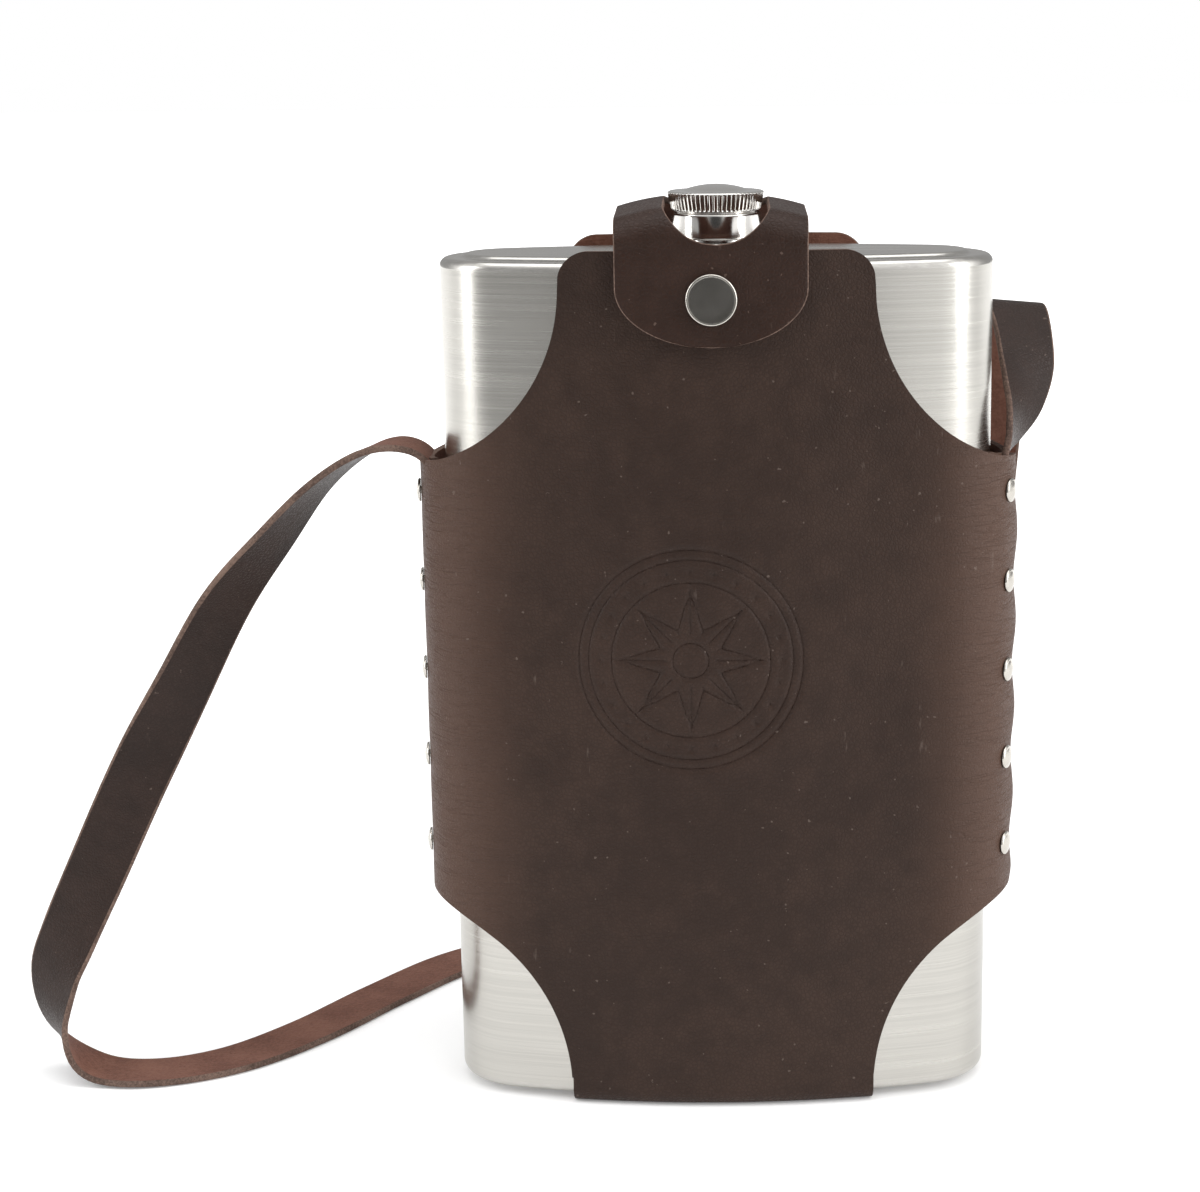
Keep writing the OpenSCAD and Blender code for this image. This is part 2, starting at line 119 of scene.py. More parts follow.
class Finish:
    """A material round one Principled shader, whose constant values are set directly."""

    def __init__(self, name, **values):
        self.material = bpy.data.materials.new(name)
        self.material.use_nodes = True
        self.tree = self.material.node_tree
        self.shader = self.tree.nodes["Principled BSDF"]
        for key, value in values.items():
            self.shader.inputs[key.replace("_", " ")].default_value = value

    def node(self, kind, settings=None, sockets=None, out=0):
        """Adds a node: its settings first, then the values or links of its sockets."""
        made = self.tree.nodes.new(kind)
        for key, value in (settings or {}).items():
            if key == "stops":
                ramp = made.color_ramp
                while len(ramp.elements) < len(value):
                    ramp.elements.new(0.5)
                for element, (position, colour) in zip(ramp.elements, value):
                    element.position, element.color = position, (*colour, 1)
            else:
                setattr(made, key, value)
        for key, value in (sockets or {}).items():
            if isinstance(value, Wire):
                self.tree.links.new(value.socket, made.inputs[key])
            else:
                made.inputs[key].default_value = value
        return Wire(self, made.outputs[out])

    def place(self, stretch=(1, 1, 1)):
        """Object coordinates in metres, stretched by a factor along each axis."""
        at = self.node("ShaderNodeTexCoord", out="Object")
        return self.node("ShaderNodeMapping", {}, {"Vector": at, "Scale": stretch})

    def noise(self, at, scale, detail=3.0, rough=0.5):
        return self.node(
            "ShaderNodeTexNoise", {}, {"Vector": at, "Scale": scale, "Detail": detail, "Roughness": rough}
        )

    def cells(self, at, scale, feature="DISTANCE_TO_EDGE"):
        return self.node("ShaderNodeTexVoronoi", {"feature": feature}, {"Vector": at, "Scale": scale})

    def mix(self, factor, a, b):
        """Colour a turned into colour b by a factor."""
        colours = [c if isinstance(c, Wire) else (*c, 1) for c in (a, b)]
        return self.node(
            "ShaderNodeMix", {"data_type": "RGBA"}, {0: factor, 6: colours[0], 7: colours[1]}, out=2
        )

    def feed(self, socket, wire):
        self.tree.links.new(wire.socket, self.shader.inputs[socket])

    def relief(self, height, depth, strength=1.0):
        """Bumps the surface by a height from 0 to 1 that stands for a depth in metres."""
        bump = self.node("ShaderNodeBump", {}, {"Height": height, "Distance": depth, "Strength": strength})
        self.feed("Normal", bump)


def axis(finish, name):
    """One coordinate of the object, in metres."""
    at = finish.node("ShaderNodeTexCoord", out="Object")
    return finish.node("ShaderNodeSeparateXYZ", {}, {"Vector": at}, out=name)


def brushed(name, stretch, colour, gloss):
    """Steel with fine brush lines: noise stretched along the brushing, in two line widths."""
    f = Finish(name, Metallic=1.0, Anisotropic=0.45)
    fine = f.noise(f.place(stretch), 1.0, 3.0, 0.65)
    wide = f.noise(f.place([s * 0.4 for s in stretch]), 1.0, 2.0)
    cloud = f.noise(f.place((9, 9, 14)), 1.0, 3.0)
    lines = fine * 0.65 + wide * 0.35
    dark, light = [c * 0.9 for c in colour], [c * 1.07 for c in colour]
    f.feed("Base Color", f.mix((lines * 0.7 + cloud * 0.3).between(0.36, 0.64), dark, light))
    f.feed("Roughness", gloss + (lines - 0.5) * 0.2 + (cloud - 0.5) * 0.12)
    f.relief(lines, 0.00003, 0.35)
    return f.material


def polished(name, colour, gloss, grit=0.05):
    """Bright metal with faint wipe marks and a breath of unevenness."""
    f = Finish(name, Metallic=1.0)
    smear = f.noise(f.place(), 90, 4.0, 0.6)
    grain = f.noise(f.place(), 2600, 2.0)
    f.feed("Base Color", f.mix(smear.between(0.35, 0.7), [c * 0.94 for c in colour], colour))
    f.feed("Roughness", smear * grit + grain * grit + gloss)
    f.relief(grain + smear * 2, 0.00002, 0.25)
    return f.material


def leather(name, deep, mid, worn, gloss=0.42, cell=900, crease_from=0.05):
    """The grain side: pebbled cells, fine pores, wrinkles that gather towards the wings, where the leather is
    also paler, and pale specks. crease_from is how far from the middle the wrinkles start, in metres."""
    f = Finish(name, Specular_IOR_Level=0.2)
    at = f.place()
    pebble = f.cells(at, cell).between(0.0, 0.28)
    pores = f.noise(at, cell * 2.6, 3.0, 0.6)
    cloud = f.noise(at, 16, 4.0, 0.55)
    mottle = f.noise(at, 130, 3.0, 0.6)
    folds = abs(f.noise(f.place((34, 34, 330)), 1.0, 3.0, 0.55) - 0.5).between(0.0, 0.035)
    wrinkle = abs(f.noise(f.place((140, 140, 800)), 1.0, 2.0, 0.5) - 0.5).between(0.0, 0.05)
    towards_wing = abs(axis(f, "X")).between(crease_from, crease_from + 0.03)
    lines = (1 - folds) * towards_wing + (1 - wrinkle) * (towards_wing * 0.5 + 0.12)
    tone = f.mix((cloud * 0.6 + mottle * 0.4).between(0.36, 0.66), deep, mid)
    tone = f.mix((1 - pebble) * 0.35, tone, [c * 0.7 for c in deep])
    tone = f.mix(lines * 0.3, tone, [c * 0.62 for c in deep])
    tone = f.mix(towards_wing * 0.6, tone, [c * 2.7 for c in mid])
    specks = f.noise(at, 620, 1.0).between(0.755, 0.79)
    scuffs = f.noise(f.place((260, 260, 60)), 1.0, 3.0, 0.7).between(0.69, 0.78) * 0.35
    tone = f.mix(specks * 0.5 + scuffs, tone, worn)
    f.feed("Base Color", tone)
    f.feed("Roughness", gloss + (mottle - 0.5) * 0.16 + (1 - pebble) * 0.14 + lines * 0.08)
    f.relief(pebble * 0.5 + pores * 0.35 - lines * 1.3 + mottle * 0.8, 0.00022, 0.6)
    return f.material


def suede(name, deep, pale):
    """The flesh side: short fibres and a rough nap."""
    f = Finish(name, Roughness=0.92, Specular_IOR_Level=0.2, Sheen_Weight=0.05)
    at = f.place()
    nap = f.noise(at, 900, 5.0, 0.7)
    fibre = f.noise(f.place((260, 260, 1500)), 1.0, 3.0, 0.6)
    cloud = f.noise(at, 55, 3.0, 0.6)
    f.feed("Base Color", f.mix((nap * 0.5 + cloud * 0.5).between(0.34, 0.66), deep, pale))
    f.relief(nap + fibre, 0.0003, 0.8)
    return f.material


def cut_edge(name, deep, pale):
    """The cut through the leather: a fibrous core, mottled between a darker and a paler tone."""
    f = Finish(name, Roughness=0.8, Specular_IOR_Level=0.25)
    at = f.place()
    fibre = f.noise(at, 1500, 4.0, 0.65)
    cloud = f.noise(at, 90, 3.0)
    f.feed("Base Color", f.mix((fibre * 0.6 + cloud * 0.4).between(0.35, 0.65), deep, pale))
    f.relief(fibre, 0.0002, 0.7)
    return f.material


def rubber(name):
    """Matt black rubber with a dusty bloom."""
    f = Finish(name, Roughness=0.7)
    bloom = f.noise(f.place(), 420, 4.0, 0.6)
    f.feed("Base Color", f.mix(bloom.between(0.4, 0.7), (0.012, 0.012, 0.012), (0.035, 0.034, 0.033)))
    f.relief(bloom, 0.0001, 0.5)
    return f.material


WALL_STEEL = brushed("brushed_wall", (14, 14, 2400), (0.53, 0.515, 0.48), 0.25)
PLATE_STEEL = brushed("brushed_plate", (14, 2000, 2000), (0.55, 0.535, 0.505), 0.24)
CHROME = polished("chrome", (0.82, 0.80, 0.78), 0.05)
CAP_STEEL = polished("plated_cap", (0.74, 0.72, 0.69), 0.09)
SPOUT_STEEL = polished("turned_steel", (0.62, 0.61, 0.59), 0.16)
NICKEL = polished("satin_nickel", (0.60, 0.57, 0.52), 0.11, 0.10)
PANEL_LEATHER = leather("panel_leather", (0.028, 0.0150, 0.0105), (0.043, 0.024, 0.017), (0.17, 0.13, 0.11))
FLAP_LEATHER = leather(
    "flap_leather", (0.024, 0.0115, 0.0075), (0.037, 0.018, 0.0125), (0.16, 0.11, 0.09), 0.36, 820, 0.2
)
STRAP_LEATHER = leather(
    "strap_grain", (0.022, 0.0125, 0.0095), (0.035, 0.0200, 0.0155), (0.15, 0.11, 0.09), 0.36, 1000, 0.3
)
FLESH = suede("flesh_side", (0.105, 0.042, 0.028), (0.185, 0.085, 0.058))
CUT = cut_edge("cut_edge", (0.065, 0.040, 0.031), (0.19, 0.125, 0.098))
RUBBER = rubber("gasket_rubber")

# ---------- making meshes ----------


def quads(rows, columns, close=False):
    """Faces between neighbouring points of a grid that is stored row by row. close joins the last column
    to the first one."""
    r = np.arange(rows - 1)[:, None]
    c = np.arange(columns if close else columns - 1)[None, :]
    n = (c + 1) % columns
    corners = [r * columns + c, r * columns + n, (r + 1) * columns + n, (r + 1) * columns + c]
    return np.stack(np.broadcast_arrays(*corners), -1).reshape(-1, 4)


def make(name, points, faces, finishes, picks=None, closed=True):
    """A mesh object from points in millimetres. Points that meet are merged, and a closed mesh has its
    normals turned outwards. picks names each face's finish by its place in finishes."""
    mesh = bpy.data.meshes.new(name)
    mesh.from_pydata((np.asarray(points).reshape(-1, 3) * MM).tolist(), [], [list(f) for f in faces])
    for finish in finishes:
        mesh.materials.append(finish)
    if picks is not None:
        mesh.polygons.foreach_set("material_index", np.asarray(picks, np.int32))
    work = bmesh.new()
    work.from_mesh(mesh)
    bmesh.ops.remove_doubles(work, verts=work.verts, dist=2e-6)
    bmesh.ops.dissolve_degenerate(work, edges=work.edges, dist=1e-7)
    bmesh.ops.delete(work, geom=[v for v in work.verts if not v.link_faces], context="VERTS")
    if closed:
        bmesh.ops.recalc_face_normals(work, faces=work.faces)
    work.to_mesh(mesh)
    work.free()
    piece = bpy.data.objects.new(name, mesh)
    bpy.context.scene.collection.objects.link(piece)
    return piece


def soften(piece, angle=38):
    """Smooth shading, except across edges sharper than the angle."""
    piece.data.polygons.foreach_set("use_smooth", np.ones(len(piece.data.polygons), bool))
    piece.data.set_sharp_from_angle(angle=np.radians(angle))


def settle(piece):
    """Turns the modifiers' result into the piece's own mesh."""
    graph = bpy.context.evaluated_depsgraph_get()
    mesh = bpy.data.meshes.new_from_object(piece.evaluated_get(graph), depsgraph=graph)
    piece.modifiers.clear()
    piece.data = mesh


def join_frame(piece, body, slot, *nodes):
    """The piece rides on a body and stands for CAD nodes. The slot is not used."""
    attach(piece, body)
    if nodes:
        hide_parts(*nodes)


def rounded(line, cut, steps=4):
    """A polyline whose corners are replaced by short parabolas that start and end at the distance cut from
    each corner, or at 0.45 of a shorter side."""
    p = np.asarray(line, float)
    before, at, after = p[:-2], p[1:-1], p[2:]
    back, on = before - at, after - at
    lb, lo = np.linalg.norm(back, axis=1), np.linalg.norm(on, axis=1)
    reach = np.minimum(np.minimum(lb, lo) * 0.45, cut)
    a = at + back / lb[:, None] * reach[:, None]
    b = at + on / lo[:, None] * reach[:, None]
    t = np.linspace(0, 1, steps + 1)[None, :, None]
    curve = (1 - t) ** 2 * a[:, None] + 2 * t * (1 - t) * at[:, None] + t**2 * b[:, None]
    return np.concatenate([p[:1], curve.reshape(-1, p.shape[1]), p[-1:]])


def step(value, low, high):
    """0 below low, 1 above high, and smooth between them."""
    t = np.clip((value - low) / (high - low), 0, 1)
    return t * t * (3 - 2 * t)


def groove(distance, width):
    """A rounded dent: 1 on its line, falling off over the width."""
    return np.exp(-((distance / width) ** 2))


def turned(profile, columns=96, ripple=None):
    """Carries a profile of (radius, height) points round an axis. ripple takes the angle and the height and
    gives what is added to the radius. Returns local points (right, up the turn, along the axis)."""
    angle = np.linspace(0, 2 * np.pi, columns, endpoint=False)[None, :]
    r, h = profile[:, :1], profile[:, 1:2]
    if ripple is not None:
        r = np.where(r > 0, r + ripple(angle, h), 0)
    r = np.broadcast_to(r, (len(profile), columns))
    return np.stack([r * np.cos(angle), r * np.sin(angle), np.broadcast_to(h, r.shape)], -1)


def turned_piece(name, profile, finish, body, slot, nodes, columns=96, ripple=None):
    """A turned part on the vertical axis through the frame's origin."""
    points = turned(profile, columns, ripple)
    piece = make(name, points, quads(len(profile), columns, True), [finish])
    soften(piece)
    join_frame(piece, body, slot, *nodes)
    return piece


# ---------- strap ----------

# Route of the strap from the right seam to the left one: a point, then the way that its width lies.
STRAP_ROUTE = np.array([
    [79.3, -3, 152, 0, 1, 0], [79.4, -3, 172, 0, 1, 0], [81, -2.5, 184, 0.1, 1, 0],
    [84, -1, 192, 0.35, 0.94, 0], [87, 3, 201, 0.65, 0.76, 0], [88.5, 9, 211, 0.87, 0.5, 0],
    [88, 17, 220, 0.95, 0.3, -0.1], [87, 28, 225, 1, 0, -0.1], [86, 40, 221, 1, 0, 0],
    [85, 50, 207, 1, -0.1, 0], [84, 60, 180, 0.95, -0.3, 0], [82, 68, 140, 0.85, -0.5, 0],
    [80, 76, 95, 0.6, -0.8, 0], [77, 84, 50, 0.3, -0.95, 0], [70, 92, 18, 0, -1, 0],
    [52, 102, 3.4, -0.3, -0.95, 0], [25, 110, 1.3, -0.2, -1, 0], [-15, 114, 1.1, 0, -1, 0],
    [-55, 107, 1.1, 0.3, -0.95, 0], [-86, 87, 1.1, 0.7, -0.7, 0], [-108, 58, 1.1, 0.8, -0.6, 0],
    [-128, 27, 1.1, 0.8, -0.6, 0], [-148, 5, 1.1, 0.6, -0.8, 0], [-170, -5, 1.4, 0.15, -1, 0],
    [-188, -4, 3.4, 0, -1, 0], [-198, -2, 15, 0.5, -0.85, 0], [-199, 0, 30, 0.85, -0.5, -0.1],
    [-194, 0, 43, 0.95, -0.3, -0.3], [-184, 0, 64, 0.9, -0.1, -0.4], [-170, 0, 93, 0.9, 0.1, -0.45],
    [-156, 0, 119, 0.76, 0.5, -0.42], [-142, -1, 144, 0.62, 0.68, -0.4], [-127, -1, 163, 0.4, 0.86, -0.32],
    [-114, -1, 178, 0.2, 0.96, -0.19], [-101, -1, 187.5, 0.08, 0.98, -0.1], [-90, -1, 190, 0, 1, 0],
    [-82, -1, 186, 0, 1, 0], [-79.5, -1, 176, 0, 1, 0], [-79.3, -1, 152, 0, 1, 0],
])
STRAP_W, STRAP_T = 18.0, 2.0


def smooth_route(route, per_span):
    """A curve through all rows, cubic between each pair, with the ends held."""
    padded = np.concatenate([route[:1], route, route[-1:]])
    p0, p1, p2, p3 = (padded[i:len(route) - 1 + i][:, None] for i in range(4))
    t = (np.arange(per_span) / per_span)[None, :, None]
    curve = 0.5 * (
        2 * p1 + (p2 - p0) * t + (2 * p0 - 5 * p1 + 4 * p2 - p3) * t**2 + (3 * p1 - p0 - 3 * p2 + p3) * t**3
    )
    return np.concatenate([curve.reshape(-1, route.shape[1]), route[-1:]])


def make_strap():
    """A flat band with rounded edges: its section is a rounded bar, set across the route at each ring. The
    width's direction is the route's own, made square to the way ahead."""
    rings = smooth_route(STRAP_ROUTE, 8)
    centre, lay = rings[:, :3], rings[:, 3:]
    ahead = np.gradient(centre, axis=0)
    ahead /= np.linalg.norm(ahead, axis=1)[:, None]
    across = lay - (lay * ahead).sum(1)[:, None] * ahead
    across /= np.linalg.norm(across, axis=1)[:, None]
    out = np.cross(across, ahead)
    half_w, half_t, round_r = STRAP_W / 2, STRAP_T / 2, 0.7
    a = np.linspace(0, np.pi / 2, 4)
    corner = np.stack([half_w - round_r + round_r * np.cos(a), half_t - round_r + round_r * np.sin(a)], 1)
    flat = np.linspace(0.86, -0.86, 9)[:, None] * [half_w, 0] + [0, half_t]
    upper = np.concatenate([corner, flat, corner[::-1] * [-1, 1]])
    section = np.concatenate([upper, upper[::-1] * [1, -1]])
    n = len(section)
    points = (
        centre[:, None] + section[None, :, :1] * across[:, None] + section[None, :, 1:] * out[:, None]
    )
    faces = [list(f) for f in quads(len(rings), n, True)]
    place = np.tile(np.arange(n), len(rings) - 1)
    grain_side = (place >= 3) & (place < len(upper) - 4)
    flesh_side = (place >= len(upper) + 3) & (place < n - 4)
    picks = np.where(grain_side, 0, np.where(flesh_side, 1, 2))
    last = (len(rings) - 1) * n
    faces += [list(range(n)), list(range(last, last + n))]
    strap = make("strap_band", points, faces, [STRAP_LEATHER, FLESH, CUT], np.append(picks, [2, 2]))
    soften(strap, 60)
    join_frame(strap, ROOT, "strap_leather", "shoulder_strap")


make_strap()

# ---------- plan of the flask and the holster ----------

wall_high = np.array(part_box("flask_wall")[1]) / MM
HALF_W, HALF_D = wall_high[0], wall_high[1]
BASE_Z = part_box("flask_base")[0][2] / MM
PANEL_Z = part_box("flask_top")[1][2] / MM
RIM_Z = PANEL_Z - 1
HOLSTER_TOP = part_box("back_panel")[1][2] / MM
FACE_R, SHEET, EDGE_R, NECK_HOLE_R = 242.0, 0.8, 2.5, 9.5
FACE_Y = FACE_R - HALF_D
PLAY, LEATHER = 0.1, 2.0


def end_centre(half):
    """How far along X an end arc's centre lies. The arc reaches out to half and meets both face arcs."""
    return (FACE_Y**2 - (FACE_R - half) ** 2) / (2 * (FACE_R - half))


WING_HALF_W = HALF_W + 3
END_X = end_centre(HALF_W)
END_R = HALF_W - END_X
WING_X = end_centre(WING_HALF_W)
BACK_WING_R = WING_HALF_W - WING_X
FRONT_WING_R = BACK_WING_R + LEATHER + PLAY


def flask_round(end_steps=44, face_steps=56):
    """Points and outward directions round the flask's plan: two end arcs and two face arcs in turn."""
    lean = np.degrees(np.arctan2(END_X, FACE_Y))
    arcs = [
        (END_X, 0, END_R, lean - 90, 90 - lean, end_steps),
        (0, -FACE_Y, FACE_R, 90 - lean, 90 + lean, face_steps),
        (-END_X, 0, END_R, 90 + lean, 270 - lean, end_steps),
        (0, FACE_Y, FACE_R, 270 - lean, 270 + lean, face_steps),
    ]
    where, way = [], []
    for x, y, r, first, last, steps in arcs:
        a = np.radians(np.linspace(first, last, steps, endpoint=False))
        d = np.stack([np.cos(a), np.sin(a)], 1)
        where.append(d * r + [x, y])
        way.append(d)
    return np.concatenate(where), np.concatenate(way)


def swept_round(profile):
    """Carries a profile round the flask. Each row is (outwards from the wall, height, share): a share of 1
    puts the point on a circle of that radius round the neck, and a share between blends plan and circle."""
    where, way = flask_round()
    out, z, share = profile[:, 0, None, None], profile[:, 1, None], profile[:, 2, None, None]
    oval = where[None] + way[None] * out
    angle = np.arctan2(where[:, 1] * 2.2, where[:, 0])
    circle = np.stack([np.cos(angle), np.sin(angle)], -1)[None] * np.abs(out)
    flat = oval * (1 - share) + circle * share
    return np.concatenate([flat, np.broadcast_to(z[:, :, None], flat.shape[:2] + (1,))], -1)


def arc(cx, cz, r, first, last, steps):
    """Points on an arc in a profile, with no share of a circle."""
    a = np.radians(np.linspace(first, last, steps))
    return np.stack([cx + r * np.cos(a), cz + r * np.sin(a), 0 * a], 1)


def make_steel():
    """Wall, top plate and base plate, each a closed profile carried round the flask."""
    top, low = RIM_Z - EDGE_R, BASE_Z + EDGE_R
    heights = np.linspace(low, top, 8)
    level = 0 * heights
    wall = np.concatenate([
        np.stack([level, heights, level], 1), np.stack([level - SHEET, heights[::-1], level], 1),
    ])
    over, inside = PANEL_Z, PANEL_Z - SHEET
    top_plate = np.concatenate([
        arc(-EDGE_R, top, EDGE_R, 0, 90, 9),
        rounded([[-4, RIM_Z, 0], [-6.2, RIM_Z, 0], [-7.4, over, 0], [-9.5, over, 0]], 0.7),
        [[-13, over, 0], [-15, over, 0.25], [-13, over, 0.6], [-11, over, 0.9], [-NECK_HOLE_R, over, 1]],
        [[-NECK_HOLE_R, inside, 1], [-11, inside, 0.9], [-13, inside, 0.6]],
        [[-15, inside, 0.25], [-9.5, inside, 0], [-7, RIM_Z - SHEET, 0]],
        arc(-EDGE_R, top, EDGE_R - SHEET, 90, 0, 7),
    ])
    base = np.concatenate([
        arc(-EDGE_R, low, EDGE_R, 0, -90, 9), [[-10, BASE_Z, 0], [-10, BASE_Z, 0.6], [0, BASE_Z, 1]],
        [[0, BASE_Z + SHEET, 1], [-10, BASE_Z + SHEET, 0.6], [-10, BASE_Z + SHEET, 0]],
        arc(-EDGE_R, low, EDGE_R - SHEET, -90, 0, 7),
    ])
    for name, profile, finish, node in [
        ("steel_wall", wall, WALL_STEEL, "flask_wall"),
        ("steel_top_plate", top_plate, PLATE_STEEL, "flask_top"),
        ("steel_base_plate", base, PLATE_STEEL, "flask_base"),
    ]:
        profile = np.concatenate([profile, profile[:1]])
        points = swept_round(profile)
        piece = make(name, points, quads(len(profile), points.shape[1], True), [finish])
        soften(piece, 30)
        join_frame(piece, ROOT, "brushed_steel", node)


make_steel()

# ---------- neck and cap ----------

SPOUT_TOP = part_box("neck_tube")[1][2] / MM
SKIRT_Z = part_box("cap_shell")[0][2] / MM
CAP_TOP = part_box("cap_shell")[1][2] / MM
HEAD_Z = SKIRT_Z + 8
SPOUT_R, BORE_R = 9.4, 8.5
THREAD_LEAD, THREAD_DEPTH = 3.0, 0.8
KNURLS, KNURL_DEPTH = 60, 0.32


def thread(angle, height):
    """A screw ridge that climbs one lead a turn, and fades out at both ends."""
    along = (height / THREAD_LEAD - angle / (2 * np.pi)) % 1
    ridge = step(np.abs(along - 0.5), 0.42, 0.22)
    starts, ends = step(height, PANEL_Z + 4, PANEL_Z + 5.5), step(height, SPOUT_TOP - 1.2, SPOUT_TOP - 2.6)
    return ridge * THREAD_DEPTH * starts * ends


def knurl(angle, height):
    """Fine grooves down the cap's conical head."""
    wave = 0.5 - 0.5 * np.cos(KNURLS * angle)
    starts, ends = step(height, HEAD_Z - 0.1, HEAD_Z + 0.2), step(height, HEAD_Z + 4.8, HEAD_Z + 4.4)
    return -KNURL_DEPTH * wave**3 * starts * ends


def make_neck_and_cap():
    """Spout, collar and cap, turned from profiles of (radius, height)."""
    heights = np.linspace(PANEL_Z, SPOUT_TOP - 0.6, 90)
    spout = np.concatenate([
        [[SPOUT_R, PANEL_Z - 8]], np.stack([0 * heights + SPOUT_R, heights], 1),
        rounded([
            [SPOUT_R, SPOUT_TOP - 0.5], [9.2, SPOUT_TOP], [8.7, SPOUT_TOP], [BORE_R, SPOUT_TOP - 0.5],
        ], 0.2),
        [[BORE_R, PANEL_Z - 8], [SPOUT_R, PANEL_Z - 8]],
    ])
    outer = spout[:, 0] > SPOUT_R - 0.1
    spout_ridge = lambda angle, height: thread(angle, height) * outer[:, None]
    turned_piece("spout", spout, SPOUT_STEEL, ROOT, "plain_steel", ["neck_tube"], 120, spout_ridge)
    z = PANEL_Z
    collar = rounded([
        [NECK_HOLE_R, z], [14, z], [14, z + 1], [13.2, z + 1.4], [13.2, z + 2.5], [12.4, z + 3],
        [NECK_HOLE_R, z + 3], [NECK_HOLE_R, z],
    ], 0.3)
    turned_piece("neck_ring", collar, CHROME, ROOT, "polished_steel", ["neck_collar"])
    s, head = SKIRT_Z, HEAD_Z
    a = np.radians(np.linspace(0, 20.3, 12))
    dome_r = 27.4
    dome = np.stack([dome_r * np.sin(a), CAP_TOP - dome_r + dome_r * np.cos(a)], 1)
    cone = np.stack([np.linspace(12.5, 13.5, 30), np.linspace(head - 0.1, head + 4.5, 30)], 1)
    shell = np.concatenate([
        dome[:-1],
        rounded([
            [9.5, CAP_TOP - 1.7], [10.2, head + 5.1], [13.0, head + 5.0], [13.5, head + 4.6],
            [13.5, head + 4.5],
        ], 0.3)[1:-1],
        cone[::-1],
        rounded([
            [12.4, head - 0.15], [11.7, head - 0.3], [11.7, head - 0.8], [12.3, head - 0.9],
            [12.5, head - 1.3], [12.5, s + 0.5], [12.1, s], [11.5, s], [11.35, s + 0.4],
        ], 0.25),
        [[11.35, SPOUT_TOP + 1.2], [0, SPOUT_TOP + 1.2]],
    ])
    turned_piece("screw_cap", shell, CAP_STEEL, CAP, "polished_steel", ["cap_shell"], KNURLS * 8, knurl)


make_neck_and_cap()

# ---------- holster ----------

TOP_HALF, TOP_CORNER, SHOULDER_R, SHOULDER_Z = 43.0, 8.5, 52.0, 237.0
TAB_HALF, LOWER_R, LOWER_Z, FOLD_R = 43.5, 57.0, 5.0, 3.5
FOLD_TOP = LEATHER + EDGE_R
TAB_TOP = 8.0
TAB_TAIL = TAB_TOP - FOLD_TOP + FOLD_R * np.pi / 2 + 9
SEAM_RIGHT, SEAM_LEFT, SEAM_LAP = 26.0, 5.0, 20.0
RIVET_Z, RIVET_PITCH, RIVETS = 73.0, 26.0, 5
ROSETTE_AT, ROSETTE_R = (-8.0, 133.0), 31.5
END_POINTS, FACE_POINTS = 300, 601


def wrap_line(r, right_edge, left_edge, off):
    """A fine line along a panel's plan from its left edge to its right one: end arc, straight stretch, face
    arc, stretch, end arc. Returns the distance from the middle, the points and the outward directions."""
    span = np.hypot(WING_X, FACE_Y)
    lean = np.degrees(np.arctan2(WING_X, FACE_Y) - np.arccos(min(1, (FACE_R - r) / span)))
    where, way = [], []
    for x, y, radius, first, last, steps in [
        (-WING_X, 0, r + off, -180 - left_edge, -90 - lean, END_POINTS),
        (0, FACE_Y, FACE_R + off, -90 - lean, lean - 90, FACE_POINTS),
        (WING_X, 0, r + off, lean - 90, right_edge, END_POINTS),
    ]:
        a = np.radians(np.linspace(first, last, steps))
        d = np.stack([np.cos(a), np.sin(a)], 1)
        where.append(d * radius + [x, y])
        way.append(d)
    where, way = np.concatenate(where), np.concatenate(way)
    along = np.concatenate([[0], np.cumsum(np.linalg.norm(np.diff(where, axis=0), axis=1))])
    return along - along[END_POINTS + FACE_POINTS // 2], where, way


def rise(radius, off):
    """Height of a circle above its centre, off to the side of it, or 0 beyond the circle."""
    return np.sqrt(np.clip(radius**2 - off**2, 0, None))


def top_edge(x):
    """Height of the outline's top at a distance from the middle: level, a round corner, then the shoulder."""
    corner = HOLSTER_TOP - TOP_CORNER + rise(TOP_CORNER, x - TOP_HALF + TOP_CORNER)
    shoulder = SHOULDER_Z - rise(SHOULDER_R, TOP_HALF + SHOULDER_R - x)
    return np.where(x < TOP_HALF - TOP_CORNER, HOLSTER_TOP, np.where(x < TOP_HALF, corner, shoulder))


def low_edge(x):
    """Height of the outline's bottom beside the tab: an arch. Inside the tab it is where the tab begins."""
    arch = LOWER_Z + rise(LOWER_R, TAB_HALF + LOWER_R - x)
    return np.where(x <= TAB_HALF, TAB_TOP, np.maximum(arch, TAB_TOP))


def panel_columns(along, where, extra):
    """Where the columns of a panel's grid stand: close together where the outline is steep. These end on the
    wings, and evenly spaced ones run on from there to the seams."""
    a = np.radians(np.linspace(0, 78, 30))
    x = np.concatenate([
        np.linspace(0, TOP_HALF - TOP_CORNER, 16), TOP_HALF - TOP_CORNER * (1 - np.sin(a)),
        TOP_HALF + SHOULDER_R * (1 - np.cos(a)), TAB_HALF + LOWER_R * (1 - np.cos(a)), [TAB_HALF],
    ])
    x = x[x < 82]
    face = slice(END_POINTS - 50, END_POINTS + FACE_POINTS + 50)
    middle = np.interp(np.concatenate([-x, x]), where[face, 0], along[face])
    left = np.linspace(along[0], middle.min(), 16)
    right = np.linspace(middle.max(), along[-1], 16)
    every = np.unique(np.round(np.concatenate([middle, left, right, extra]), 3))
    least_gap = 0.07
    kept = every[np.concatenate([[True], np.diff(every) > least_gap])]
    kept[-1] = along[-1]
    return kept


